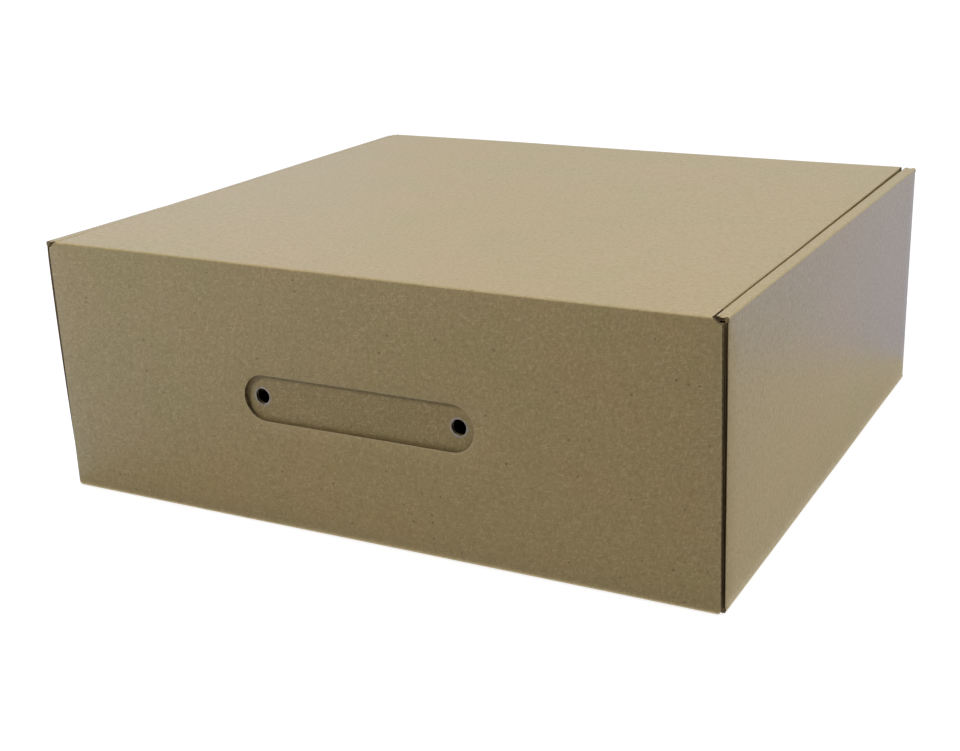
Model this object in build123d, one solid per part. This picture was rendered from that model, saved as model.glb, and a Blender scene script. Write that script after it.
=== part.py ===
"""Archival box folded from one die-cut sheet of thin brown corrugated board.

The front faces -Y, +Z is up, and the origin is at the centre of the base. A shallow tray has
double side walls that roll over a flat rim and lock into the base. The lid is creased to the
back wall and lies between the rims, and its front flap hangs outside the tray's front wall.
A crease is a paper hinge, so each panel between two creases is a node of its own.
"""
import os
from build123d import *

# Outside size of the closed box
WIDTH = 304.0
DEPTH = 281.0
HEIGHT = 110.0

# The board and the room left around it
BOARD = 1.6               # thickness of the corrugated board
LID_GAP = 0.3             # between the lid's pieces and the tray
SIDE_GAP = 0.1            # between the outer side and the corner tab behind it
LID_SIDE_GAP = 0.9        # between the lid's edge and the rim
CREASE_R = 1.4            # outer radius of a creased edge of the lid and rims
FOOT_R = 1.0              # outer radius of the creases round the base

# Side walls
RIM_WIDTH = 6.0           # flat strip that joins the outer and inner sides
CORNER_TAB = 62.0         # length of the tabs at the ends of the front and back walls
TAB_TAPER = 5.0           # how much a corner tab narrows towards its end, top and bottom
TAB_CORNER_R = 8.0
LOCK_TAB = 36.0           # width of each tab that locks an inner side into the base
LOCK_TAB_AT = 70.0        # distance of a lock tab from the middle of the side
LOCK_TAB_LIFT = 0.1       # a lock tab ends just above the floor
SLOT_PLAY = 0.3           # room round a lock tab in its slot

# Lid
FLAP_RAISE = 0.5          # the front flap ends just above the floor
FLAP_CHAMFER = 2.8        # height of the slanted top corners of the front flap
FLAP_INSET = 0.3          # how much the flap is narrower than the front wall, at each side
FLAP_CORNER_R = 1.5
LID_EDGE_R = 0.6          # outer radius of the creases at the lid's sides
DUST_FLAP = 55.0          # how far a dust flap reaches down inside the tray
DUST_FLAP_FRONT = 10.0    # a dust flap starts this far behind the lid's front edge
DUST_FLAP_BACK = 6.0
DUST_FLAP_TAPER = 8.0     # slant of its two ends, which lets the front wall past
DUST_CORNER_R = 12.0

# Finger slot in the front flap, and the two holes behind it for a pull
SLOT_LENGTH = 106.0
SLOT_HEIGHT = 19.4
HOLE_R = 3.25
HOLE_SPACING = 91.0
SLOT_Z = HEIGHT / 2

# Planes and lines that several panels share
SIDE_X = WIDTH / 2
FRONT_Y = -DEPTH / 2
BACK_Y = DEPTH / 2
TOP_Z = HEIGHT - BOARD                       # underside of the lid panel and of the rims
WALL_TOP = TOP_Z - LID_GAP                   # top edge of the front and back walls
WALL_Y = FRONT_Y + BOARD + LID_GAP           # outer face of the front wall
WALL_INNER_Y = WALL_Y + BOARD
BACK_INNER_Y = BACK_Y - BOARD
WALL_HALF = SIDE_X - BOARD - SIDE_GAP        # half width of the front and back walls
INNER_X = SIDE_X - RIM_WIDTH                 # inner face of the inner side
LID_HALF = INNER_X - LID_SIDE_GAP            # half width of the lid panel
FLAP_HALF = WALL_HALF - FLAP_INSET           # half width of the front flap

# Planes to draw on: from the front (depth runs to -Y), from the right (depth runs to +X), from above
FROM_FRONT = Plane((0, 0, 0), x_dir=(1, 0, 0), z_dir=(0, -1, 0))
FROM_RIGHT = Plane((0, 0, 0), x_dir=(0, 1, 0), z_dir=(1, 0, 0))
FROM_ABOVE = Plane.XY


def rect(u0, u1, v0, v1):
    """A rectangle between two opposite corners of a drawing plane."""
    return Pos((u0 + u1) / 2, (v0 + v1) / 2) * Rectangle(u1 - u0, v1 - v0)


def outline(*points):
    """A flat shape with straight edges."""
    return make_face(Polyline(*points, close=True))


def board(plane, shape, near, far):
    """Board of a flat shape that fills the depth from near to far along the plane's normal."""
    return extrude(plane.offset(near) * shape, far - near)


def rounded(shape, corners, radius):
    """The flat shape with the corners closest to the given points rounded off."""
    chosen = [min(shape.vertices(), key=lambda v: (Vector(v) - Vector(*p)).length) for p in corners]
    return fillet(chosen, radius)


def soften(part, axis, spot, radius):
    """The part with one long straight edge, the one along an axis closest to a spot, rounded."""
    longest = part.edges().filter_by(axis).sort_by(SortBy.LENGTH)[-8:]
    edge = min(longest, key=lambda e: (e.center() - Vector(*spot)).length)
    return fillet(edge, radius)


# ---- Tray -------------------------------------------------------------------------------

def base_panel():
    """The floor of the tray, with a slot for each lock tab."""
    half = SIDE_X - BOARD
    floor = rect(-half, half, WALL_INNER_Y, BACK_INNER_Y)
    for side in (-1, 1):
        for y in (-LOCK_TAB_AT, LOCK_TAB_AT):
            x = side * (INNER_X + BOARD / 2)
            floor -= Pos(x, y) * Rectangle(BOARD + 2 * SLOT_PLAY, LOCK_TAB + 2 * SLOT_PLAY)
    return board(FROM_ABOVE, floor, 0, BOARD)


def front_wall():
    """The tray's front, behind the lid's flap, with the two punched holes for a pull."""
    wall = rect(-WALL_HALF, WALL_HALF, 0, WALL_TOP)
    for x in (-HOLE_SPACING / 2, HOLE_SPACING / 2):
        wall -= Pos(x, SLOT_Z) * Circle(HOLE_R)
    part = board(FROM_FRONT, wall, -WALL_INNER_Y, -WALL_Y)
    return soften(part, Axis.X, (0, WALL_Y, 0), FOOT_R)


def back_wall():
    """The tray's back, which carries the lid's crease along its top."""
    part = board(FROM_FRONT, rect(-WALL_HALF, WALL_HALF, 0, WALL_TOP), -BACK_Y, -BACK_INNER_Y)
    return soften(part, Axis.X, (0, BACK_Y, 0), FOOT_R)


def corner_tab(wall_y, end_y):
    """The end of the front or back wall, folded back between the outer and inner right sides."""
    low = BOARD + LID_GAP
    high = WALL_TOP - LID_GAP
    shape = outline((wall_y, low), (end_y, low + TAB_TAPER), (end_y, high - TAB_TAPER), (wall_y, high))
    ends = [(end_y, low + TAB_TAPER), (end_y, high - TAB_TAPER)]
    return board(FROM_RIGHT, rounded(shape, ends, TAB_CORNER_R), WALL_HALF - BOARD, WALL_HALF)


def outer_side():
    """The right side wall that shows."""
    part = board(FROM_RIGHT, rect(WALL_Y, BACK_Y, 0, TOP_Z), SIDE_X - BOARD, SIDE_X)
    return soften(part, Axis.Y, (SIDE_X, 0, 0), FOOT_R)


def rim():
    """The flat strip along the top of the right side, between its two creases."""
    part = board(FROM_ABOVE, rect(INNER_X, SIDE_X, WALL_Y, BACK_Y), TOP_Z, HEIGHT)
    part = soften(part, Axis.Y, (SIDE_X, 0, HEIGHT), CREASE_R)
    return soften(part, Axis.Y, (INNER_X, 0, HEIGHT), LID_EDGE_R)


def inner_side():
    """The rolled-over skin of the right side, with the tabs that lock into the base."""
    front = WALL_INNER_Y + LID_GAP
    back = BACK_INNER_Y - LID_GAP
    skin = rect(front, back, BOARD, TOP_Z)
    for y in (-LOCK_TAB_AT, LOCK_TAB_AT):
        skin += rect(y - LOCK_TAB / 2, y + LOCK_TAB / 2, LOCK_TAB_LIFT, BOARD)
    return board(FROM_RIGHT, skin, INNER_X, INNER_X + BOARD)


# ---- Lid --------------------------------------------------------------------------------

def lid_panel():
    """The top, flush with the rims, from the front flap's crease to the back wall's."""
    part = board(FROM_ABOVE, rect(-LID_HALF, LID_HALF, WALL_Y, BACK_Y), TOP_Z, HEIGHT)
    part = soften(part, Axis.X, (0, BACK_Y, HEIGHT), CREASE_R)
    part = soften(part, Axis.Y, (LID_HALF, 0, HEIGHT), LID_EDGE_R)
    return soften(part, Axis.Y, (-LID_HALF, 0, HEIGHT), LID_EDGE_R)


def lid_front_flap():
    """The flap outside the front wall: slanted top corners and a round-ended finger slot."""
    shoulder = HEIGHT - FLAP_CHAMFER
    shape = outline(
        (-LID_HALF, HEIGHT),
        (LID_HALF, HEIGHT),
        (FLAP_HALF, shoulder),
        (FLAP_HALF, FLAP_RAISE),
        (-FLAP_HALF, FLAP_RAISE),
        (-FLAP_HALF, shoulder),
    )
    shape = rounded(shape, [(FLAP_HALF, FLAP_RAISE), (-FLAP_HALF, FLAP_RAISE)], FLAP_CORNER_R)
    shape -= Pos(0, SLOT_Z) * SlotOverall(SLOT_LENGTH, SLOT_HEIGHT)
    part = board(FROM_FRONT, shape, -FRONT_Y - BOARD, -FRONT_Y)
    return soften(part, Axis.X, (0, FRONT_Y, HEIGHT), CREASE_R)


def dust_flap():
    """The flap that folds down from the lid's right edge, inside the inner side."""
    top = TOP_Z - LID_GAP
    low = top - DUST_FLAP
    front = WALL_Y + DUST_FLAP_FRONT
    back = BACK_Y - DUST_FLAP_BACK
    ends = [(front + DUST_FLAP_TAPER, low), (back - DUST_FLAP_TAPER, low)]
    shape = rounded(outline((front, top), ends[0], ends[1], (back, top)), ends, DUST_CORNER_R)
    return board(FROM_RIGHT, shape, LID_HALF - BOARD, LID_HALF)


def both_sides(name, part):
    """A right-hand part and its mirror image, named by side."""
    return {f"right_{name}": part, f"left_{name}": mirror(part, about=Plane.YZ)}


def all_parts():
    """Every node of the box by name."""
    parts = {
        "base_panel": base_panel(),
        "front_wall": front_wall(),
        "back_wall": back_wall(),
        "lid_panel": lid_panel(),
        "lid_front_flap": lid_front_flap(),
    }
    front_tab = corner_tab(WALL_INNER_Y, WALL_INNER_Y + CORNER_TAB)
    back_tab = corner_tab(BACK_INNER_Y, BACK_INNER_Y - CORNER_TAB)
    parts |= both_sides("front_corner_tab", front_tab)
    parts |= both_sides("back_corner_tab", back_tab)
    parts |= both_sides("outer_side", outer_side())
    parts |= both_sides("rim", rim())
    parts |= both_sides("inner_side", inner_side())
    parts |= both_sides("dust_flap", dust_flap())
    return parts


os.makedirs("parts", exist_ok=True)
for name, part in all_parts().items():
    export_step(part, f"parts/{name}.step")
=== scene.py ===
"""Looks of the archival box: every panel is built as real corrugated board, with two paper
liners, a fluted sheet between them and rounded creases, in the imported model's own frame."""
import math

import bmesh
import bpy
import numpy as np
from mathutils import Matrix, Vector
from mathutils.geometry import delaunay_2d_cdt


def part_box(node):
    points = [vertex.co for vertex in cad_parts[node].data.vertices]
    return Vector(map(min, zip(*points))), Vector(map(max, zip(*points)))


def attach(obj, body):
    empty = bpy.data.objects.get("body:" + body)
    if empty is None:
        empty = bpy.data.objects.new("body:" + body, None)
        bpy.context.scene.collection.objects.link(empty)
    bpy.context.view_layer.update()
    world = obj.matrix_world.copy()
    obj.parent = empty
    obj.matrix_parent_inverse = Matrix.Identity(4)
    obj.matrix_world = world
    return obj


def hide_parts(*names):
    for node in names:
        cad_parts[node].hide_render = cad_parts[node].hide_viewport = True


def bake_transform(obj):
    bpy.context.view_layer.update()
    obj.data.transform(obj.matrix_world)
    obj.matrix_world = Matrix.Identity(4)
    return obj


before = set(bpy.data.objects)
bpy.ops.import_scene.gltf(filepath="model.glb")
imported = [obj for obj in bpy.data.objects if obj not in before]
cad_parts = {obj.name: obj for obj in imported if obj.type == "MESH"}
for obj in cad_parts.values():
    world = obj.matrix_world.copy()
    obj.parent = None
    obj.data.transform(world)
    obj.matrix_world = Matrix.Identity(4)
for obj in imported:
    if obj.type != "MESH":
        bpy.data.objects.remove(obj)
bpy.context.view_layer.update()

MM = 0.001                 # the meshes are worked out in millimetres and stored in metres

# Corrugated board
BOARD = 1.6
LINER = 0.30               # paper on each face of the board
MEDIUM = 0.20              # the fluted paper between the liners
PITCH = 3.3                # from one flute to the next
CREASE = 1.9               # size of the folded corner between two panels
CUT_WIDTH = 1.0            # how far a die-cut edge is pressed thinner
CUT_ACROSS = 0.14          # how much thinner it is where the flutes end open
CUT_ALONG = 0.36           # and where the cut runs along a flute
CREASE_WEAR_AND_HIGHLIGHT = 0.15         # how scuffed a folded corner is, next to a cut edge, with a painted highlight in the same pale colour
FOOT_END = 0.4             # how far the base's front and back creases stop short of the corners

# Outer radii of the creases
TAB_R = 1.0                # corner tabs, and the base's front and back
FOOT_R = 1.1
RIM_OUTER_R = 0.9
RIM_INNER_R = 0.6
LID_FRONT_R = 0.8
LID_BACK_R = 1.2
DUST_R = 0.5
DUST_BEND_FROM = 0.6       # share of a dust flap crease's height where the bend line passed to it lies; nothing here bends it

# Mesh
EDGE_STEP = 4.0            # spacing of mesh points along an edge
FACE_STEP = 10.0           # and over a face

# Material slots of every board and crease
OUTER_SLOT, INNER_SLOT, CUT_SLOT = 0, 1, 2

# Directions
RIGHT, BACKWARD, FORWARD, UP, DOWN = (1, 0, 0), (0, 1, 0), (0, -1, 0), (0, 0, 1), (0, 0, -1)

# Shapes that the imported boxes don't tell
CHAMFER = 2.8              # height of the flap's slanted top corners
FLAP_CORNER = 1.5
FINGER_SLOT = (106.0, 19.4)
HOLE_R = 3.25
HOLE_SPACING = 91.0
BURR_WIDTH = 0.8           # the ring of torn fibres round a punched hole
BURR_HEIGHT = 0.14
NICK_X = 20.0              # where the die left a small nick on the slot's upper edge
LOCK_TAB = 36.0
LOCK_TAB_AT = 70.0
SLOT_PLAY = 0.3
TAB_TAPER = 5.0
TAB_CORNER = 8.0
DUST_TAPER = 8.0
DUST_CORNER = 12.0

# The slack of a folded box, which the CAD leaves out, and how far it reaches
FLAP_FLARE = 1.0           # how far the front flap stands off at its free edge
FLAP_SPREAD = 0.9          # and how much further out its lower right corner is
FRONT_LEAN = 1.3           # how far the top of the front leans to the left
SIDE_BULGE = 1.0           # how far the left side bows out at its front edge
SIDE_REACH = 0.9           # how far its top leans out there
LEFT_DROP = 1.2            # how far the left rim slopes down to the outside
BACK_DROP = 0.4            # how far the right rim lies below the lid at the back
BULGE_REACH = 150.0        # from the front edge, backwards
SLOPE_REACH = 80.0         # the left rim's slope grows over this distance from the front
SINK_REACH = 160.0         # how far forwards the right rim's sinking reaches
SINK_END = 140.0           # and where it is deepest
SPREAD_HEIGHT = 40.0       # what is lower than this is pushed out less
FRONT_LIFT = (2.0, 1.0)    # how much higher the top is at its left and right front corners
BACK_LIFT = (1.3, -0.3)    # and at its back corners
LID_SPREAD = (1.2, 0.0)    # how much wider the lid is at each side, at its front and back edges
RIM_SPREAD = (1.0, 0.5)    # how far the rims' inner creases follow it


def edges_mm(node):
    """The low and high corners of a CAD node, in millimetres."""
    low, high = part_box(node)
    return np.array(low) / MM, np.array(high) / MM


FLAP_LOW, FLAP_HIGH = edges_mm("lid_front_flap")
LID_LOW, LID_HIGH = edges_mm("lid_panel")
WALL_LOW, WALL_HIGH = edges_mm("front_wall")
BACK_HIGH = edges_mm("back_wall")[1]
RIM_LOW, RIM_HIGH = edges_mm("right_rim")
INNER_LOW, INNER_HIGH = edges_mm("right_inner_side")
DUST_LOW, DUST_HIGH = edges_mm("right_dust_flap")
FRONT_TAB_LOW, FRONT_TAB_HIGH = edges_mm("right_front_corner_tab")
BACK_TAB_LOW, BACK_TAB_HIGH = edges_mm("right_back_corner_tab")

FRONT_Y = FLAP_LOW[1]
BACK_Y = BACK_HIGH[1]
SIDE_X = RIM_HIGH[0]
TOP = LID_HIGH[2]
SLOT_Z = TOP / 2
WALL_Y = WALL_LOW[1]
WALL_HALF = WALL_HIGH[0]
LID_HALF = LID_HIGH[0]
LID_FRONT_HALF = LID_HALF + LID_SPREAD[0]
LID_BACK_HALF = LID_HALF + LID_SPREAD[1]
FLAP_HALF = FLAP_HIGH[0]
INNER_X = RIM_LOW[0]


# ---- Outlines ---------------------------------------------------------------------------

def arc(cu, cv, radius, start, end, steps):
    """Points of an arc, angles in degrees."""
    angles = np.radians(np.linspace(start, end, steps + 1))
    return [(cu + radius * math.cos(a), cv + radius * math.sin(a)) for a in angles]


def rounded_outline(corners):
    """A closed outline from (u, v, radius) corners."""
    points = []
    count = len(corners)
    for i, (u, v, radius) in enumerate(corners):
        here = np.array((u, v))
        before = np.array(corners[i - 1][:2]) - here
        after = np.array(corners[(i + 1) % count][:2]) - here
        if radius == 0:
            points.append((u, v))
            continue
        before /= np.linalg.norm(before)
        after /= np.linalg.norm(after)
        half = math.acos(float(np.clip(before @ after, -1, 1))) / 2
        middle = (before + after) / np.linalg.norm(before + after)
        centre = here + middle * radius / math.sin(half)
        first = here + before * radius / math.tan(half) - centre
        last = here + after * radius / math.tan(half) - centre
        turn = math.atan2(first[0] * last[1] - first[1] * last[0], first @ last)
        for t in np.linspace(0, 1, 9):
            c, s = math.cos(turn * t), math.sin(turn * t)
            points.append(tuple(centre + (c * first[0] - s * first[1], s * first[0] + c * first[1])))
    return points


def rectangle(u0, u1, v0, v1):
    return [(u0, v0), (u1, v0), (u1, v1), (u0, v1)]


def stadium(length, height, cv):
    """A round-ended slot about (0, cv), with the small nick that the die leaves."""
    radius = height / 2
    reach = length / 2 - radius
    right = arc(reach, cv, radius, -90, 90, 24)
    left = arc(-reach, cv, radius, 90, 270, 24)
    nick = [(NICK_X + 0.5, cv + radius), (NICK_X, cv + radius - 0.45), (NICK_X - 0.5, cv + radius)]
    return right + nick + left


def circle(cu, cv, radius):
    return arc(cu, cv, radius, 0, 360, 32)[:-1]


def with_steps(outline, step):
    """The outline with points added on its long edges."""
    points = []
    for (u0, v0), (u1, v1) in zip(outline, outline[1:] + outline[:1]):
        count = max(1, math.ceil(math.hypot(u1 - u0, v1 - v0) / step))
        points += [(u0 + (u1 - u0) * i / count, v0 + (v1 - v0) * i / count) for i in range(count)]
    return points


def inside(points, outline):
    """Which of the points lie inside an outline."""
    u, v = points[:, 0], points[:, 1]
    result = np.zeros(len(points), bool)
    for (u0, v0), (u1, v1) in zip(outline, outline[1:] + outline[:1]):
        if v0 == v1:
            continue
        crosses = ((v0 > v) != (v1 > v)) & (u < (u1 - u0) * (v - v0) / (v1 - v0) + u0)
        result ^= crosses
    return result


def distances(points, segment):
    """Distance of each point from a straight segment."""
    a, b = np.array(segment[0]), np.array(segment[1])
    along = b - a
    t = np.clip(((points - a) @ along) / (along @ along), 0, 1)
    return np.linalg.norm(points - a - t[:, None] * along, axis=1)


# ---- Board ------------------------------------------------------------------------------

class Panel:
    """One flat panel of board: its outline in (u, v), u along the flutes, and its place in space.

    origin is the outer face's (0, 0), and u, v and inward are unit directions. Edges named in
    folded run into a crease, given as (axis, value), and every other edge is die cut. Holes that
    are punched leave the board at its full thickness."""

    def __init__(self, origin, u, v, inward, outline, holes=(), folded=(), punched=False):
        self.origin = np.array(origin, float)
        self.axes = np.array((u, v, inward), float)
        self.outline = outline
        self.holes = list(holes)
        cut_loops = [outline] + ([] if punched else self.holes)
        segments = [s for loop in cut_loops for s in zip(loop, loop[1:] + loop[:1])]
        self.cuts = [s for s in segments if not self.is_folded(s, folded)]

    @staticmethod
    def is_folded(segment, folded):
        return any(all(abs(p[axis] - value) < 0.01 for p in segment) for axis, value in folded)

    def thinning(self, points):
        """How much thinner the board is at each point, because a cut edge is near."""
        most = np.zeros(len(points))
        for segment in self.cuts:
            along = np.subtract(segment[1], segment[0])
            share = abs(along[0]) / np.linalg.norm(along)
            strength = CUT_ACROSS + (CUT_ALONG - CUT_ACROSS) * share
            t = np.clip(1 - distances(points, segment) / CUT_WIDTH, 0, 1)
            most = np.maximum(most, strength * t * t * (3 - 2 * t))
        return most

    def place(self, points, depth):
        """Points of the board in space, at a depth below its outer face."""
        middle = BOARD / 2
        depth = middle + (depth - middle) * (1 - self.thinning(points))
        return self.origin + np.column_stack((points, depth)) @ self.axes

    def edge_wear_and_highlight(self, points):
        """1 at a cut edge, where the paper is scuffed pale and a painted highlight lightens it further,
        and 0 inside the sheet.
        """
        nearest = np.full(len(points), CUT_WIDTH)
        for segment in self.cuts:
            nearest = np.minimum(nearest, distances(points, segment))
        return 1 - nearest / CUT_WIDTH

    def face_points(self):
        """Mesh points over the panel: its edges, rings just inside the cuts, and a grid."""
        loops = [with_steps(loop, EDGE_STEP) for loop in [self.outline, *self.holes]]
        edge = [p for loop in loops for p in loop]
        extra = []
        for loop in loops:
            for (u0, v0), (u1, v1) in zip(loop, loop[1:] + loop[:1]):
                length = math.hypot(u1 - u0, v1 - v0)
                normal = ((v0 - v1) / length, (u1 - u0) / length)
                for step in (-0.35, 0.35, -0.8, 0.8):
                    extra.append(((u0 + u1) / 2 + step * normal[0], (v0 + v1) / 2 + step * normal[1]))
        extra = np.array(extra)
        low, high = np.min(self.outline, axis=0), np.max(self.outline, axis=0)
        counts = [max(2, math.ceil((high[i] - low[i]) / FACE_STEP) + 1) for i in (0, 1)]
        us, vs = (np.linspace(low[i], high[i], counts[i])[1:-1] for i in (0, 1))
        grid = np.array([(a, b) for a in us for b in vs]).reshape(-1, 2)
        segments = [s for loop in [self.outline, *self.holes] for s in zip(loop, loop[1:] + loop[:1])]

        def keep(points, least):
            ok = inside(points, self.outline)
            for hole in self.holes:
                ok &= ~inside(points, hole)
            for segment in segments:
                ok &= distances(points, segment) > least
            return points[ok]

        return loops, edge, np.vstack((keep(extra, 0.3), keep(grid, 2.0)))

    def triangulate(self):
        """(points, triangles) of the panel's face."""
        loops, edge, extra = self.face_points()
        sides, first = [], 0
        for loop in loops:
            sides += [(first + i, first + (i + 1) % len(loop)) for i in range(len(loop))]
            first += len(loop)
        points = [Vector(p) for p in edge] + [Vector(p) for p in extra]
        found, _, faces, *_ = delaunay_2d_cdt(points, sides, [], 0, 1e-5)
        found = np.array([tuple(p) for p in found])
        faces = np.array([f for f in faces if len(f) == 3])
        centres = found[faces].mean(axis=1)
        ok = inside(centres, self.outline)
        for hole in self.holes:
            ok &= ~inside(centres, hole)
        return found, faces[ok]

    def liners(self):
        """Both liners, each a closed sheet of paper."""
        points, faces = self.triangulate()
        wear_and_highlight = np.tile(self.edge_wear_and_highlight(points), 2)
        shells = []
        for near, far, slot in ((0, LINER, OUTER_SLOT), (BOARD - LINER, BOARD, INNER_SLOT)):
            top = self.place(points, np.full(len(points), near))
            bottom = self.place(points, np.full(len(points), far))
            shells.append(closed_sheet(top, bottom, faces, slot, wear_and_highlight))
        return shells

    def spans(self, v):
        """Where the panel has board along the line at v, as (start, end) pairs in u."""
        crossings = []
        for loop in [self.outline, *self.holes]:
            for (u0, v0), (u1, v1) in zip(loop, loop[1:] + loop[:1]):
                if (v0 > v) != (v1 > v):
                    crossings.append(u0 + (u1 - u0) * (v - v0) / (v1 - v0))
        crossings.sort()
        return list(zip(crossings[::2], crossings[1::2]))

    def flutes(self):
        """The fluted sheet between the liners, in closed stretches."""
        low, high = np.min(self.outline, axis=0)[1] + 0.12, np.max(self.outline, axis=0)[1] - 0.12
        count = max(8, round((high - low) / PITCH * 8))
        rows = [(v, self.spans(v)) for v in np.linspace(low, high, count + 1)]
        shells, group = [], [rows[0]]
        for row in rows[1:] + [(None, [])]:
            if len(row[1]) == len(group[-1][1]) and row[0] is not None:
                group.append(row)
                continue
            if len(group) > 1:
                for k in range(len(group[0][1])):
                    shells.append(self.fluted_stretch([(v, spans[k]) for v, spans in group]))
            group = [row]
        return shells

    def fluted_stretch(self, rows):
        """One closed wavy sheet through rows of (v, (start, end))."""
        widest = max(b - a for _, (a, b) in rows)
        middle = np.linspace(0, 1, max(2, math.ceil(widest / 25.0) + 1))
        grid, depths = [], []
        for v, (a, b) in rows:
            a, b = a + 0.08, b - 0.08
            ends = min(0.9, (b - a) / 4)
            us = [a, a + ends / 2, *(a + ends + (b - a - 2 * ends) * middle), b - ends / 2, b]
            grid.append([(u, v) for u in us])
            depths.append(np.full(len(us), v))
        grid, vs = np.array(grid), np.array(depths)
        swing = (BOARD - 2 * LINER - MEDIUM) / 2
        wave = 2 * math.pi / PITCH
        slope = swing * wave * np.sin(wave * vs)
        thick = MEDIUM / 2 * np.sqrt(1 + slope * slope)
        centre = BOARD / 2 - swing * np.cos(wave * vs)
        top = self.place(grid.reshape(-1, 2), (centre - thick).ravel())
        bottom = self.place(grid.reshape(-1, 2), (centre + thick).ravel())
        r, c = grid.shape[:2]
        index = np.arange(r * c).reshape(r, c)
        corners = (index[:-1, :-1], index[1:, :-1], index[1:, 1:], index[:-1, 1:])
        quads = np.stack(corners, axis=-1).reshape(-1, 4)
        return closed_sheet(top, bottom, quads, CUT_SLOT, np.zeros(2 * len(top)))


def closed_sheet(top, bottom, faces, slot, wear_and_highlight):
    """A closed solid between two sheets of the same points, with cut edges round it.

    Like every shell here it is (points, faces, material slot of each face, wear and painted highlight of
    each point)."""
    count = len(top)
    sides = {}
    for face in faces:
        ring = list(face)
        for a, b in zip(ring, ring[1:] + ring[:1]):
            if (b, a) in sides:
                del sides[(b, a)]
            else:
                sides[(a, b)] = True
    solid = [tuple(int(i) for i in f) for f in faces]
    solid += [tuple(int(i) + count for i in reversed(list(f))) for f in faces]
    slots = [slot] * len(solid) + [CUT_SLOT] * len(sides)
    solid += [(int(b), int(a), int(a) + count, int(b) + count) for a, b in sides]
    return np.vstack((top, bottom)), solid, slots, wear_and_highlight


def crease_solid(corner, first, second, along, start, end, radius, flare=0.0, steps=12):
    """The folded corner between two panels: a rounded outer face and the crushed board inside.

    corner is a point on the sharp outer corner line, first and second point into the two panels,
    and the fold runs along a direction from start to end. flare widens it towards the second."""
    section = [(CREASE, 0.0)]
    for t in np.linspace(0, math.pi / 2, steps + 1):
        section.append((radius - radius * math.sin(t), radius - radius * math.cos(t)))
    section += [(0.0, CREASE), (BOARD, CREASE), (CREASE, BOARD)]
    section = np.array(section)
    stations = np.linspace(0, 1, max(2, math.ceil((end - start) / 8.0) + 1))
    widening = flare * np.where(section[:, 0] < CREASE, section[:, 1], 0)
    rings = []
    for t in stations:
        reach = start + (end - start) * t + widening * (2 * t - 1)
        rings.append(
            np.array(corner, float)
            + section[:, :1] * np.array(first, float)
            + section[:, 1:] * np.array(second, float)
            + reach[:, None] * np.array(along, float)
        )
    n, last = len(section), (len(rings) - 1) * len(section)
    faces = []
    for i in range(len(rings) - 1):
        for k in range(n):
            a, b = i * n + k, i * n + (k + 1) % n
            faces.append((a, b, b + n, a + n))
    ends = [tuple(range(n - 1, -1, -1)), tuple(last + k for k in range(n))]
    bend = np.concatenate(([0], np.sin(np.linspace(0, math.pi, steps + 1)) ** 2, [0, 0, 0]))
    # The middle of the crease's arc is paled: partly scuffing, partly a painted highlight along the fold.
    wear_and_highlight = np.tile(CREASE_WEAR_AND_HIGHLIGHT * bend, len(rings))
    return np.vstack(rings), faces + ends, [OUTER_SLOT] * len(faces) + [CUT_SLOT] * len(ends), wear_and_highlight


# ---- Shape of each panel ----------------------------------------------------------------

def facing(direction, at, flutes, across, inward, outline, holes=(), folded=(), punched=False):
    """A panel whose outer face lies at a distance along one axis."""
    axis = "XYZ".index(direction)
    origin = np.zeros(3)
    origin[axis] = at
    unit = {"X": (1, 0, 0), "Y": (0, 1, 0), "Z": (0, 0, 1)}
    sign = 1 if inward > 0 else -1
    inward = sign * np.array(unit[direction])
    return Panel(origin, unit[flutes], unit[across], inward, outline, holes, folded, punched)


def base_board():
    reach = SIDE_X - CREASE
    front, back = WALL_Y + CREASE, BACK_Y - CREASE
    slots = []
    for x in (-INNER_X - BOARD / 2, INNER_X + BOARD / 2):
        for y in (-LOCK_TAB_AT, LOCK_TAB_AT):
            half_x, half_y = BOARD / 2 + SLOT_PLAY, LOCK_TAB / 2 + SLOT_PLAY
            slots.append(rectangle(x - half_x, x + half_x, y - half_y, y + half_y))
    folded = [(0, -reach), (0, reach), (1, front), (1, back)]
    return facing("Z", 0, "X", "Y", 1, rectangle(-reach, reach, front, back), slots, folded)


def front_wall_board():
    reach = WALL_HALF - CREASE
    holes = [circle(x, SLOT_Z, HOLE_R) for x in (-HOLE_SPACING / 2, HOLE_SPACING / 2)]
    outline = rectangle(-reach, reach, CREASE, WALL_HIGH[2])
    folded = [(0, -reach), (0, reach), (1, CREASE)]
    return facing("Y", WALL_Y, "X", "Z", 1, outline, holes, folded, punched=True)


def back_wall_board():
    reach = WALL_HALF - CREASE
    high = BACK_HIGH[2]
    folded = [(0, -reach), (0, reach), (1, CREASE), (1, high)]
    return facing("Y", BACK_Y, "X", "Z", -1, rectangle(-reach, reach, CREASE, high), [], folded)


def corner_tab_board(side, low, high, wall, end):
    """A tab behind an outer side; wall is its creased edge and end its free one."""
    narrow = [(end, low + TAB_TAPER, TAB_CORNER), (end, high - TAB_TAPER, TAB_CORNER)]
    outline = rounded_outline([(wall, low, 0), narrow[0], narrow[1], (wall, high, 0)])
    return facing("X", side * WALL_HALF, "Y", "Z", -side, outline, [], [(0, wall)])


def outer_side_board(side):
    high = TOP - CREASE
    outline = rectangle(CREASE, high, WALL_Y, BACK_Y)
    return facing("X", side * SIDE_X, "Z", "Y", -side, outline, [], [(0, CREASE), (0, high)])


def rim_board(side):
    near, far = sorted((side * (INNER_X + CREASE), side * (SIDE_X - CREASE)))
    outline = rectangle(near, far, WALL_Y, BACK_Y)
    return facing("Z", TOP, "X", "Y", -1, outline, [], [(0, near), (0, far)])


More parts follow.
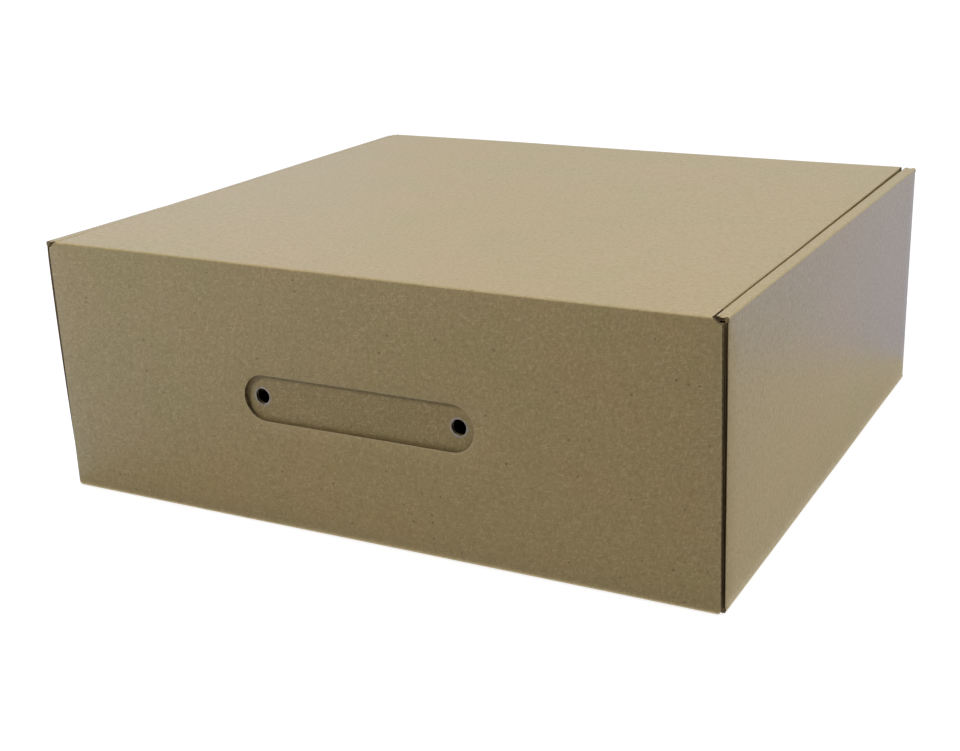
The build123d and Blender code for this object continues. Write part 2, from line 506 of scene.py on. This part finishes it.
def inner_side_board(side):
    high = TOP - CREASE
    front, back = INNER_LOW[1], INNER_HIGH[1]
    foot = INNER_LOW[2]
    points = [(high, front, 0), (high, back, 0), (BOARD, back, 0)]
    for y in (LOCK_TAB_AT, -LOCK_TAB_AT):
        far, near = y + LOCK_TAB / 2, y - LOCK_TAB / 2
        points += [(BOARD, far, 0), (foot, far, 0.6), (foot, near, 0.6), (BOARD, near, 0)]
    points.append((BOARD, front, 0))
    return facing("X", side * INNER_X, "Z", "Y", side, rounded_outline(points), [], [(0, high)])


def lid_board():
    """The lid steps in by a crease along its sides, where the dust flaps fold down."""
    front, back = LID_LOW[1], BACK_Y - CREASE
    fold = LID_HALF - CREASE
    flap_front, flap_back = DUST_LOW[1], DUST_HIGH[1]
    right = [(LID_HALF, front), (LID_HALF, flap_front), (fold, flap_front), (fold, flap_back),
             (LID_HALF, flap_back), (LID_HALF, back)]
    left = [(-x, y) for x, y in reversed(right)]
    folded = [(0, -fold), (0, fold), (1, front), (1, flap_front), (1, flap_back), (1, back)]
    return facing("Z", TOP, "X", "Y", -1, right + left, [], folded)


def flap_board():
    """The front flap, up to the crease; its slanted corners go on into the crease."""
    shoulder, high, low = TOP - CHAMFER, TOP - CREASE, FLAP_LOW[2]
    slant = (FLAP_HALF - LID_FRONT_HALF) / CHAMFER
    top = LID_FRONT_HALF + slant * CREASE
    corners = [(top, high, 0), (-top, high, 0), (-FLAP_HALF, shoulder, 0), (-FLAP_HALF, low, FLAP_CORNER),
               (FLAP_HALF, low, FLAP_CORNER), (FLAP_HALF, shoulder, 0)]
    slot = stadium(*FINGER_SLOT, SLOT_Z)
    return facing("Y", FRONT_Y, "X", "Z", 1, rounded_outline(corners), [slot], [(1, high)])


def dust_flap_board(side):
    high, low = TOP - CREASE, DUST_LOW[2]
    front, back = DUST_LOW[1], DUST_HIGH[1]
    points = [(high, front, 0), (low, front + DUST_TAPER, DUST_CORNER),
              (low, back - DUST_TAPER, DUST_CORNER), (high, back, 0)]
    return facing("X", side * LID_HALF, "Z", "Y", -side, rounded_outline(points), [], [(0, high)])


# ---- Objects ----------------------------------------------------------------------------

def warp(points):
    """The slight unevenness that every folded board has, the same for all pieces."""
    x, y, z = points.T
    dx = 0.10 * np.sin(y / 31 + 1.3) * np.sin(z / 47 + 0.4) + 0.04 * np.sin(y / 17 + z / 23)
    dy = 0.12 * np.sin(x / 37 + 0.7) * np.sin(z / 41 + 1.1) + 0.04 * np.sin(x / 19 - z / 27 + 2)
    dz = 0.15 * np.sin(x / 45 + 0.2) * np.sin(y / 39 + 0.9) + 0.04 * np.sin(x / 21 + y / 25)
    return points + np.column_stack((dx, dy, dz * z / TOP))


def shifted(points, dx=0.0, dy=0.0, dz=0.0):
    return points + np.column_stack([np.zeros(len(points)) + d for d in (dx, dy, dz)])


def tray_slack(points):
    """The left side bows and leans out near its front, and the rims sag."""
    x, y, z = points.T
    height = np.clip((z - CREASE) / (TOP - 2 * CREASE), 0, 1)
    near_front = np.clip(1 - (y - WALL_Y) / BULGE_REACH, 0, 1) ** 2
    near_back = np.clip(1 - (SINK_END - y) / SINK_REACH, 0, 1) ** 2
    outer_skin = np.clip((-x - SIDE_X + 2 * BOARD) / BOARD, 0, 1)
    bulge = SIDE_BULGE * np.sin(math.pi * height) ** 0.5 * near_front * outer_skin
    slope_from = INNER_X - 1.5
    slope = np.clip((-x - slope_from) / (SIDE_X - slope_from), 0, 1)
    reach = SIDE_REACH * height * near_front * slope
    slope *= 0.3 + 0.7 * np.clip((y - WALL_Y) / SLOPE_REACH, 0, 1)
    sag = np.clip((x - LID_HALF) / 0.5, 0, 1)
    drop = (LEFT_DROP * slope + BACK_DROP * near_back * sag) * z / TOP
    return shifted(points, dx=-bulge - reach, dz=-drop)


def spread(points, edge, still, widening):
    """Pushes what is near x = edge outwards, more at the front, and nothing at x = still."""
    x, y, z = points.T
    back_share = np.clip((y - WALL_Y) / (BACK_Y - WALL_Y), 0, 1)
    most = widening[0] + (widening[1] - widening[0]) * back_share
    share = np.clip((np.abs(x) - still) / (edge - still), 0, 1)
    return shifted(points, dx=np.sign(x) * most * share * np.clip(z / SPREAD_HEIGHT, 0, 1))


def lid_slack(points):
    """The lid is a little wider at its front than at its back."""
    return spread(points, LID_HALF, 0.0, LID_SPREAD)


def rim_slack(points):
    """The rims' inner edges run beside the lid's."""
    return spread(points, INNER_X, SIDE_X, RIM_SPREAD)


def flare(points):
    """The front flap stands off the front wall towards its free edge, and its right edge slants."""
    x, y, z = points.T
    down = np.clip((TOP - CREASE - z) / (TOP - CREASE), 0, 1)
    right = np.clip(x / FLAP_HALF, 0, 1)
    return shifted(points, dx=FLAP_SPREAD * down * right ** 4, dy=-FLAP_FLARE * down ** 1.5)


def share_back(points):
    """0 at the front of the box and 1 at its back."""
    return np.clip((points[:, 1] - FRONT_Y) / (BACK_Y - FRONT_Y), 0, 1)


def lift(points):
    """How much higher each point is, because the box is a little twisted."""
    right = np.clip((points[:, 0] + SIDE_X) / (2 * SIDE_X), 0, 1)
    front = FRONT_LIFT[0] + (FRONT_LIFT[1] - FRONT_LIFT[0]) * right
    back = BACK_LIFT[0] + (BACK_LIFT[1] - BACK_LIFT[0]) * right
    return (front + (back - front) * share_back(points)) * points[:, 2] / TOP


def settle(points):
    """The front of the box leans a little to the left, and its top is a little twisted."""
    lean = FRONT_LEAN * (1 - share_back(points)) * points[:, 2] / TOP
    return shifted(points, dx=-lean, dz=lift(points))


def hang_low(points):
    """The dust flaps stay level with their hinge lines where the lid lies higher."""
    down = np.clip((TOP - points[:, 2]) / CREASE, 0, 1)
    return shifted(points, dz=-np.maximum(lift(points), 0) * down)


def make_object(name, shells, materials, shapes=()):
    """A mesh object from closed shells."""
    points, faces, slots, wear_and_highlight, count = [], [], [], [], 0
    for shell_points, shell_faces, shell_slots, shell_wear_and_highlight in shells:
        points.append(shell_points)
        wear_and_highlight.append(shell_wear_and_highlight)
        faces += [[i + count for i in face] for face in shell_faces]
        slots += shell_slots
        count += len(shell_points)
    points = warp(np.vstack(points))
    for shape in (*shapes, settle):
        points = shape(points)
    mesh = bpy.data.meshes.new(name)
    mesh.from_pydata((points * MM).tolist(), [], faces)
    mesh.polygons.foreach_set("material_index", slots)
    for material in materials:
        mesh.materials.append(material)
    work = bmesh.new()
    work.from_mesh(mesh)
    bmesh.ops.recalc_face_normals(work, faces=work.faces)
    work.to_mesh(mesh)
    work.free()
    mesh.attributes.new("wear_and_highlight", "FLOAT", "POINT").data.foreach_set("value", np.concatenate(wear_and_highlight))
    mesh.polygons.foreach_set("use_smooth", [True] * len(mesh.polygons))
    mesh.set_sharp_from_angle(angle=math.radians(35))
    thing = bpy.data.objects.new(name, mesh)
    bpy.context.scene.collection.objects.link(thing)
    return thing


def board_piece(node, body, panel, across, shapes=(), outer=None, cut=None):
    """The corrugated board that stands for one CAD node."""
    finish = [outer or LINER_FINISH[across], INSIDE_FINISH[across], cut or CUT_FINISH]
    thing = make_object(node + "_board", panel.liners() + panel.flutes(), finish, shapes)
    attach(thing, body)
    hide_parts(node)
    return thing


def hole_burr(name, x):
    """The pale raised fibres round a punched hole in the front wall."""
    around, over = 64, 8
    points, faces = [], []
    for i in range(around):
        turn = 2 * math.pi * i / around
        ragged = 1 + 0.25 * math.sin(3 * turn + x) + 0.15 * math.sin(7 * turn + 2 * x)
        for k in range(over):
            round_it = 2 * math.pi * k / over
            radius = HOLE_R + BURR_WIDTH / 2 * (1 - math.cos(round_it) * ragged)
            rise = BURR_HEIGHT * math.sin(round_it)
            points.append((x + radius * math.cos(turn), WALL_Y - rise, SLOT_Z + radius * math.sin(turn)))
            here, on = i * over, (i + 1) % around * over
            faces.append((here + k, here + (k + 1) % over, on + (k + 1) % over, on + k))
    shell = (np.array(points), faces, [OUTER_SLOT] * len(faces), np.ones(len(points)))
    thing = make_object(name, [shell], [BURR_FINISH])
    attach(thing, "tray")


def crease_piece(name, bodies, solid, bend=None, shapes=(), ends=None):
    """A crease that stays folded on its first body; given a bend, it is put on no body and keeps its
    place in space, and neither the bend nor a second body is used.
    """
    # Unless told otherwise, a crease's ends get the darkest cut finish, a painted shade.
    finish = [CREASE_FINISH, CREASE_FINISH, ends or PUNCHED_SHADED_FINISH]
    thing = make_object(name, [solid], finish, shapes)
    if bend is None:
        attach(thing, bodies[0])
    else:
        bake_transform(thing)
    return thing


# ---- Materials --------------------------------------------------------------------------

class Finish:
    """A material and the few helpers that its node graph is drawn with."""

    def __init__(self, name):
        self.material = bpy.data.materials.new(name)
        self.material.use_nodes = True
        self.tree = self.material.node_tree
        self.surface = self.tree.nodes["Principled BSDF"]
        self.place = self.add("ShaderNodeTexCoord").outputs["Object"]

    def add(self, kind, inputs=(), **settings):
        """A node with its settings, and its inputs given as (socket, value or link) pairs."""
        node = self.tree.nodes.new(kind)
        for key, value in settings.items():
            setattr(node, key, value)
        for socket, value in inputs:
            if isinstance(value, bpy.types.NodeSocket):
                self.tree.links.new(value, node.inputs[socket])
            else:
                node.inputs[socket].default_value = value
        return node

    def math(self, operation, a, b=0.0):
        return self.add("ShaderNodeMath", [(0, a), (1, b)], operation=operation).outputs[0]

    def noise(self, scale, detail=2.0, turn=(0, 0, 0), roughness=0.5):
        """Noise in repeats per metre along each axis, after a turn in degrees."""
        angles = [math.radians(a) for a in turn]
        turned = self.add("ShaderNodeMapping", [("Vector", self.place), ("Rotation", angles)])
        scaled = self.add("ShaderNodeMapping", [("Vector", turned.outputs[0]), ("Scale", scale)])
        inputs = [("Vector", scaled.outputs[0]), ("Scale", 1.0), ("Detail", detail)]
        inputs.append(("Roughness", roughness))
        return self.add("ShaderNodeTexNoise", inputs).outputs[0]

    def between(self, value, low, high, to_low=0.0, to_high=1.0):
        """The value moved smoothly from one range to another, held at its ends."""
        inputs = [("Value", value), ("From Min", low), ("From Max", high)]
        inputs += [("To Min", to_low), ("To Max", to_high)]
        node = self.add("ShaderNodeMapRange", inputs, interpolation_type="SMOOTHSTEP")
        return node.outputs[0]

    def mix(self, share, a, b):
        """Colour a, and b where share is 1."""
        node = self.add("ShaderNodeMix", data_type="RGBA")
        sockets = [s for s in node.inputs if s.enabled]
        for socket, value in zip(sockets, (share, a, b)):
            if isinstance(value, bpy.types.NodeSocket):
                self.tree.links.new(value, socket)
            elif socket.type == "RGBA":
                socket.default_value = (*value, 1.0)
            else:
                socket.default_value = value
        return next(s for s in node.outputs if s.enabled)

    def coat(self, colour, roughness, bump_height, bump_distance, specular=0.5):
        """Connects the finished colour, roughness and relief."""
        self.tree.links.new(colour, self.surface.inputs["Base Color"])
        self.tree.links.new(roughness, self.surface.inputs["Roughness"])
        self.surface.inputs["Specular IOR Level"].default_value = specular
        inputs = [("Height", bump_height), ("Distance", bump_distance), ("Strength", 1.0)]
        bump = self.add("ShaderNodeBump", inputs)
        self.tree.links.new(bump.outputs[0], self.surface.inputs["Normal"])
        return self.material


def paper(name, across, contrast=1.0, washboard=0.3, painted_shade=0.0):
    """Kraft paper: fine mottling, pale fibres, a few dark specks, scuffed edges with a painted highlight
    and the flutes showing through. painted_shade moves it towards the deeper colour, as painted shade."""
    f = Finish(name)
    clouds = f.noise((30, 30, 30), detail=4)
    colour = f.mix(f.between(clouds, 0.30, 0.70), KRAFT_OLIVE, KRAFT_BROWN)
    mottle = f.noise((620, 620, 620), detail=4, roughness=0.7)
    # painted_shade darkens the whole sheet towards the deeper colour, a painted shade.
    colour = f.mix(f.between(mottle, 0.42, 0.68, painted_shade, painted_shade + 0.42 * contrast), colour, KRAFT_DEEP)
    fibres = None
    for turn, stretch in ((8, 4.6), (54, 3.2), (-30, 4.0), (-82, 3.6)):
        strands = f.noise((1500 / stretch, 1500, 1500), detail=1, turn=(turn, turn, turn))
        strands = f.between(strands, 0.60, 0.74)
        fibres = strands if fibres is None else f.math("MAXIMUM", fibres, strands)
    colour = f.mix(f.math("MULTIPLY", fibres, 0.50 * contrast), colour, KRAFT_FIBRE)
    specks = f.add("ShaderNodeTexVoronoi", [("Vector", f.place), ("Scale", 240.0)])
    near = f.between(specks.outputs["Distance"], 0.06, 0.17, 1.0, 0.0)
    channels = f.add("ShaderNodeSeparateColor", [(0, specks.outputs["Color"])])
    rare = f.math("GREATER_THAN", channels.outputs[0], 0.80)
    speck = f.math("MULTIPLY", f.math("MULTIPLY", near, rare), 0.55 * contrast)
    colour = f.mix(speck, colour, SPECK)
    # Cut edges and crease middles are paled: partly scuffing, partly a painted highlight.
    wear_and_highlight = f.add("ShaderNodeAttribute", attribute_name="wear_and_highlight").outputs["Fac"]
    scuffed_and_highlight = f.between(f.noise((700, 700, 700), detail=3), 0.30, 0.62, 0.10, 0.45)
    colour = f.mix(f.math("MULTIPLY", wear_and_highlight, scuffed_and_highlight), colour, KRAFT_SCUFFED_AND_HIGHLIGHT)
    axes = f.add("ShaderNodeSeparateXYZ", [(0, f.place)])
    wave = f.math("SINE", f.math("MULTIPLY", axes.outputs[across], 2 * math.pi / (PITCH * MM)))
    grain = f.noise((900, 900, 900), detail=3, roughness=0.6)
    height = f.math("ADD", f.math("MULTIPLY", wave, washboard), f.math("MULTIPLY", grain, 1.2 * contrast))
    height = f.math("ADD", height, f.math("MULTIPLY", fibres, 0.35 * contrast))
    roughness = f.between(mottle, 0.35, 0.7, 0.36, 0.46)
    return f.coat(colour, roughness, height, 0.00003, specular=0.28)


def fluting(name, painted_shade_tone=1.0):
    """The rougher, darker paper of the waves, and the cut edges of the liners. painted_shade_tone darkens
    it, as painted shade for edges, holes and crease ends that lie in shadow.
    """
    f = Finish(name)
    clouds = f.noise((60, 60, 60), detail=4)
    dark, light, fibre = (tuple(painted_shade_tone * c for c in colour) for colour in (CUT_DARK, CUT_LIGHT, CUT_FIBRE))
    colour = f.mix(f.between(clouds, 0.35, 0.65), dark, light)
    fibres = f.noise((500, 1500, 1500), detail=2, turn=(20, 30, 40))
    colour = f.mix(f.between(fibres, 0.6, 0.75, 0, 0.4), colour, fibre)
    return f.coat(colour, f.between(clouds, 0.3, 0.7, 0.75, 0.9), fibres, 0.00005, specular=0.2)


def torn_fibre(name):
    """The pale inside of the paper where it is torn."""
    f = Finish(name)
    strands = f.noise((900, 2600, 2600), detail=3, turn=(30, 10, 50))
    colour = f.mix(f.between(strands, 0.3, 0.7), (0.36, 0.31, 0.26), (0.52, 0.47, 0.42))
    return f.coat(colour, f.between(strands, 0.3, 0.7, 0.6, 0.8), strands, 0.00005, specular=0.3)


KRAFT_OLIVE = (0.415, 0.329, 0.150)
KRAFT_BROWN = (0.440, 0.328, 0.156)
KRAFT_DEEP = (0.295, 0.215, 0.094)
KRAFT_FIBRE = (0.610, 0.485, 0.270)
# The pale colour of scuffed edges, also used as a painted highlight on them.
KRAFT_SCUFFED_AND_HIGHLIGHT = (0.560, 0.470, 0.310)
SPECK = (0.10, 0.07, 0.04)
CUT_DARK = (0.22, 0.15, 0.075)
CUT_LIGHT = (0.30, 0.21, 0.11)
CUT_FIBRE = (0.38, 0.28, 0.16)
LINER_FINISH = {axis: paper("kraft_across_" + axis, axis) for axis in "YZ"}
INSIDE_FINISH = {axis: paper("kraft_inside_across_" + axis, axis, contrast=1.1) for axis in "YZ"}
# The front wall's copy of the kraft, darker: a painted shade for the recess behind the flap's slot.
WALL_SHADED_FINISH = paper("kraft_front_wall_painted_shade", "Z", painted_shade=0.35)
# The lid's copy of the kraft with its marks toned down: painted sheen, for the grazing light that washes
# them out on the top.
TOP_SHEEN_FINISH = paper("kraft_top_painted_sheen", "Y", contrast=0.7)
CUT_FINISH = fluting("kraft_fluting")
# Darker copies of the fluting: painted shade in the flap's slot and along its edges, inside the punched
# holes and at the creases' ends.
FLAP_CUT_SHADED_FINISH = fluting("kraft_flap_edge_painted_shade", painted_shade_tone=0.6)
PUNCHED_SHADED_FINISH = fluting("kraft_punched_edge_painted_shade", painted_shade_tone=0.35)
BURR_FINISH = torn_fibre("torn_fibre")
CREASE_FINISH = paper("kraft_crease", "Y", contrast=0.8, washboard=0.0)


# ---- The box ----------------------------------------------------------------------------

def build_tray():
    slack = [tray_slack]
    rims = [rim_slack, tray_slack]
    board_piece("base_panel", "tray", base_board(), "Y")
    # The front wall gets the darkened kraft and the darkest cut edges, both painted shade.
    board_piece("front_wall", "tray", front_wall_board(), "Z", slack, WALL_SHADED_FINISH, PUNCHED_SHADED_FINISH)
    hole_burr("left_hole_burr", -HOLE_SPACING / 2)
    hole_burr("right_hole_burr", HOLE_SPACING / 2)
    board_piece("back_wall", "tray", back_wall_board(), "Z", slack)
    for y, inward, name in ((WALL_Y, 1, "front"), (BACK_Y, -1, "back")):
        reach = WALL_HALF - FOOT_END
        solid = crease_solid((0, y, 0), UP, (0, inward, 0), RIGHT, -reach, reach, TAB_R)
        crease_piece(f"base_{name}_crease", ["tray"], solid)
    for side, name in ((-1, "left"), (1, "right")):
        outwards, inwards = (side, 0, 0), (-side, 0, 0)
        tabs = (
            ("front", FRONT_TAB_LOW, FRONT_TAB_HIGH, 1, WALL_Y),
            ("back", BACK_TAB_LOW, BACK_TAB_HIGH, -1, BACK_Y),
        )
        for end, low, high, inward, wall_y in tabs:
            free = high[1] if inward > 0 else low[1]
            panel = corner_tab_board(side, low[2], high[2], wall_y + inward * CREASE, free)
            board_piece(f"{name}_{end}_corner_tab", "tray", panel, "Z", slack)
            corner = (side * WALL_HALF, wall_y, 0)
            solid = crease_solid(corner, inwards, (0, inward, 0), UP, low[2], high[2], TAB_R)
            crease_piece(f"{name}_{end}_tab_crease", ["tray"], solid, shapes=slack)
        board_piece(f"{name}_outer_side", "tray", outer_side_board(side), "Y", slack)
        board_piece(f"{name}_rim", "tray", rim_board(side), "Y", rims)
        board_piece(f"{name}_inner_side", "tray", inner_side_board(side), "Y", rims)
        foot_at = (side * SIDE_X, 0, 0)
        foot = crease_solid(foot_at, inwards, UP, BACKWARD, WALL_Y, BACK_Y, FOOT_R)
        # The foot crease's ends get the darkened fluting, a painted shade.
        crease_piece(f"{name}_foot_crease", ["tray"], foot, shapes=slack, ends=FLAP_CUT_SHADED_FINISH)
        outer_at = (side * SIDE_X, 0, TOP)
        outer = crease_solid(outer_at, inwards, DOWN, BACKWARD, WALL_Y, BACK_Y, RIM_OUTER_R)
        crease_piece(f"{name}_rim_outer_crease", ["tray"], outer, shapes=rims, ends=CUT_FINISH)
        inner_at = (side * INNER_X, 0, TOP)
        inner = crease_solid(inner_at, outwards, DOWN, BACKWARD, WALL_Y, BACK_Y, RIM_INNER_R)
        crease_piece(f"{name}_rim_inner_crease", ["tray"], inner, shapes=rims)


def build_lid():
    slack = [lid_slack]
    hung = [lid_slack, hang_low]
    board_piece("lid_panel", "lid", lid_board(), "Y", slack, TOP_SHEEN_FINISH)
    # The flap's cut edges get the darkened fluting, a painted shade in the slot and along its edges.
    board_piece("lid_front_flap", "front_flap", flap_board(), "Z", [flare], cut=FLAP_CUT_SHADED_FINISH)
    slant = (FLAP_HALF - LID_FRONT_HALF) / CHAMFER
    reach = LID_FRONT_HALF
    front_at = (0, FRONT_Y, TOP)
    front = crease_solid(front_at, BACKWARD, DOWN, RIGHT, -reach, reach, LID_FRONT_R, slant)
    bend = ((0, FRONT_Y + CREASE, TOP - BOARD), (0, FRONT_Y + BOARD, TOP - CREASE))
    crease_piece("lid_front_crease", ["lid", "front_flap"], front, bend)
    reach = LID_BACK_HALF
    back_at = (0, BACK_Y, TOP)
    back = crease_solid(back_at, DOWN, FORWARD, RIGHT, -reach, reach, LID_BACK_R)
    bend = ((0, BACK_Y - BOARD, TOP - CREASE), (0, BACK_Y - CREASE, TOP - BOARD))
    crease_piece("lid_back_crease", ["tray", "lid"], back, bend)
    for side, name in ((-1, "left"), (1, "right")):
        board_piece(f"{name}_dust_flap", f"{name}_flap", dust_flap_board(side), "Y", hung)
        corner = (side * LID_HALF, 0, TOP)
        start, end = DUST_LOW[1], DUST_HIGH[1]
        fold = crease_solid(corner, (-side, 0, 0), DOWN, BACKWARD, start, end, DUST_R)
        hinge_x = side * (LID_HALF - BOARD)
        bend = ((hinge_x, 0, TOP - DUST_BEND_FROM * CREASE), (hinge_x, 0, TOP - CREASE))
        crease_piece(f"{name}_dust_crease", ["lid", f"{name}_flap"], fold, bend, hung)


# ---- Studio -----------------------------------------------------------------------------

def stage_sheet(name, points, faces, greys, glow, tint=(1.0, 1.0, 1.0), grain_scale=90):
    """A matt, glowing surface that isn't part of the object."""
    mesh = bpy.data.meshes.new(name)
    mesh.from_pydata(points, [], faces)
    f = Finish(name + "_paper")
    grain = f.noise((grain_scale,) * 3, detail=3)
    colour = f.mix(f.between(grain, 0.3, 0.7), (greys[0],) * 3, (greys[1],) * 3)
    f.surface.inputs["Emission Color"].default_value = (*tint, 1.0)
    f.surface.inputs["Emission Strength"].default_value = glow
    roughness = f.between(grain, 0.2, 0.8, 0.85, 0.95)
    mesh.materials.append(f.coat(colour, roughness, grain, 0.0002, specular=0.1))
    sheet = bpy.data.objects.new(name, mesh)
    bpy.context.scene.collection.objects.link(sheet)
    return sheet


def lying(low, high, z):
    """The corners of a level rectangle."""
    (x0, y0), (x1, y1) = low, high
    return [(x0, y0, z), (x1, y0, z), (x1, y1, z), (x0, y1, z)]


def build_floor():
    """A wide pale floor that glows like a light table, far larger than the view."""
    far = 40.0
    stage_sheet("floor", lying((-far, -far), (far, far), 0), [(0, 1, 2, 3)], (0.24, 0.27), 0.80)


def build_backdrop():
    """A white wall all round, far off, which only the camera sees and which lights nothing."""
    far, high, around = 18.0, 10.0, 96
    turns = [2 * math.pi * i / around for i in range(around)]
    foot = [(far * math.cos(a), far * math.sin(a), -0.5) for a in turns]
    head = [(x, y, high) for x, y, _ in foot]
    faces = [(i, (i + 1) % around, around + (i + 1) % around, around + i) for i in range(around)]
    wall = stage_sheet("backdrop_wall", foot + head, faces, (0.78, 0.82), 1.0, grain_scale=2)
    for ray in ("diffuse", "glossy", "transmission", "volume_scatter", "shadow"):
        setattr(wall, "visible_" + ray, False)


def sun(name, azimuth, elevation, strength, spread, colour=(1, 1, 1)):
    """A soft light from far away: azimuth is counted from the front, positive to the right."""
    light = bpy.data.lights.new(name, "SUN")
    light.energy = strength
    light.angle = math.radians(spread)
    light.color = colour
    lamp = bpy.data.objects.new(name, light)
    a, e = math.radians(azimuth), math.radians(elevation)
    towards = Vector((math.sin(a) * math.cos(e), -math.cos(a) * math.cos(e), math.sin(e)))
    lamp.rotation_mode = "QUATERNION"
    lamp.rotation_quaternion = towards.to_track_quat("Z", "Y")
    bpy.context.scene.collection.objects.link(lamp)


def panel_light(name, place, aim, width, height, power, colour=(1, 1, 1)):
    """A softbox that the camera doesn't see."""
    light = bpy.data.lights.new(name, "AREA")
    light.shape = "RECTANGLE"
    light.size, light.size_y = width, height
    light.energy = power
    light.color = colour
    lamp = bpy.data.objects.new(name, light)
    lamp.location = place
    lamp.rotation_mode = "QUATERNION"
    lamp.rotation_quaternion = (Vector(place) - Vector(aim)).to_track_quat("Z", "Y")
    lamp.visible_camera = False
    bpy.context.scene.collection.objects.link(lamp)


def ground_card(name, low, high, grey, glow, tint=(0.90, 0.95, 1.0)):
    """A card on the floor that the camera doesn't see, which tones the floor's glow up or down."""
    greys = (grey * 0.97, grey * 1.03)
    card = stage_sheet(name, lying(low, high, MM), [(0, 1, 2, 3)], greys, glow, tint)
    card.visible_camera = False
    card.visible_shadow = False


def build_lights():
    sun("overhead", 150, 80, 2.55, 50)
    sun("right_fill", 100, 15, 0.58, 40, (1.0, 0.96, 0.86))
    panel_light("front_key", (-0.90, -1.50, 1.50), (0.0, -0.14, 0.05), 0.5, 0.5, 15.0, (1.0, 0.98, 0.94))
    panel_light("backdrop", (-0.5, 2.6, 1.2), (0, 0, 0.1), 6.5, 2.4, 37, (0.59, 0.72, 1.0))
    panel_light("left_window", (-2.0, 2.0, 0.7), (-0.1, 0, 0.1), 1.2, 1.0, 1.3, (0.15, 0.40, 1.0))
    ground_card("left_card", (-0.60, -0.60), (-0.154, 0.30), 0.20, 0.90, (0.45, 0.62, 1.0))
    ground_card("front_near_card", (-0.154, -0.32), (0.154, -0.142), 0.15, 0.28, (1.0, 0.96, 0.90))
    ground_card("front_left_card", (-0.154, -2.5), (0.0, -0.32), 0.20, 0.23)
    ground_card("front_right_card", (0.0, -2.5), (1.2, -0.32), 0.10, 0.08)
    ground_card("right_corner_card", (0.154, -0.32), (1.2, -0.142), 0.15, 0.15)
    ground_card("right_card", (0.154, -0.142), (0.55, 0.17), 0.40, 0.28, (1.0, 0.97, 0.90))
    ground_card("right_back_card", (0.154, 0.17), (0.60, 0.90), 0.30, 0.92, (0.20, 0.36, 1.0))
    world = bpy.data.worlds.new("studio")
    world.use_nodes = True
    back = world.node_tree.nodes["Background"]
    back.inputs["Color"].default_value = (0.93, 0.95, 1.0, 1.0)
    back.inputs["Strength"].default_value = 0.05
    bpy.context.scene.world = world


def build_camera():
    """The camera, by its place, where it looks and its slight roll."""
    azimuth, elevation, roll = math.radians(28.40), math.radians(18.97), math.radians(-2.02)
    back = Vector((
        math.sin(azimuth) * math.cos(elevation),
        -math.cos(azimuth) * math.cos(elevation),
        math.sin(elevation),
    ))
    level = Vector((math.cos(azimuth), math.sin(azimuth), 0))
    upright = back.cross(level)
    right = math.cos(roll) * level + math.sin(roll) * upright
    up = back.cross(right)
    data = bpy.data.cameras.new("camera")
    data.lens = 55.43
    data.sensor_width = 36.0
    data.clip_start, data.clip_end = 0.01, 200
    camera = bpy.data.objects.new("camera", data)
    camera.matrix_world = Matrix((
        (right.x, up.x, back.x, 0.30225),
        (right.y, up.y, back.y, -0.59633),
        (right.z, up.z, back.z, 0.25678),
        (0, 0, 0, 1),
    ))
    bpy.context.scene.collection.objects.link(camera)
    bpy.context.scene.camera = camera


build_camera()
build_tray()
build_lid()
build_floor()
build_backdrop()
build_lights()
bpy.context.scene.view_settings.view_transform = "Standard"

bpy.context.view_layer.update()
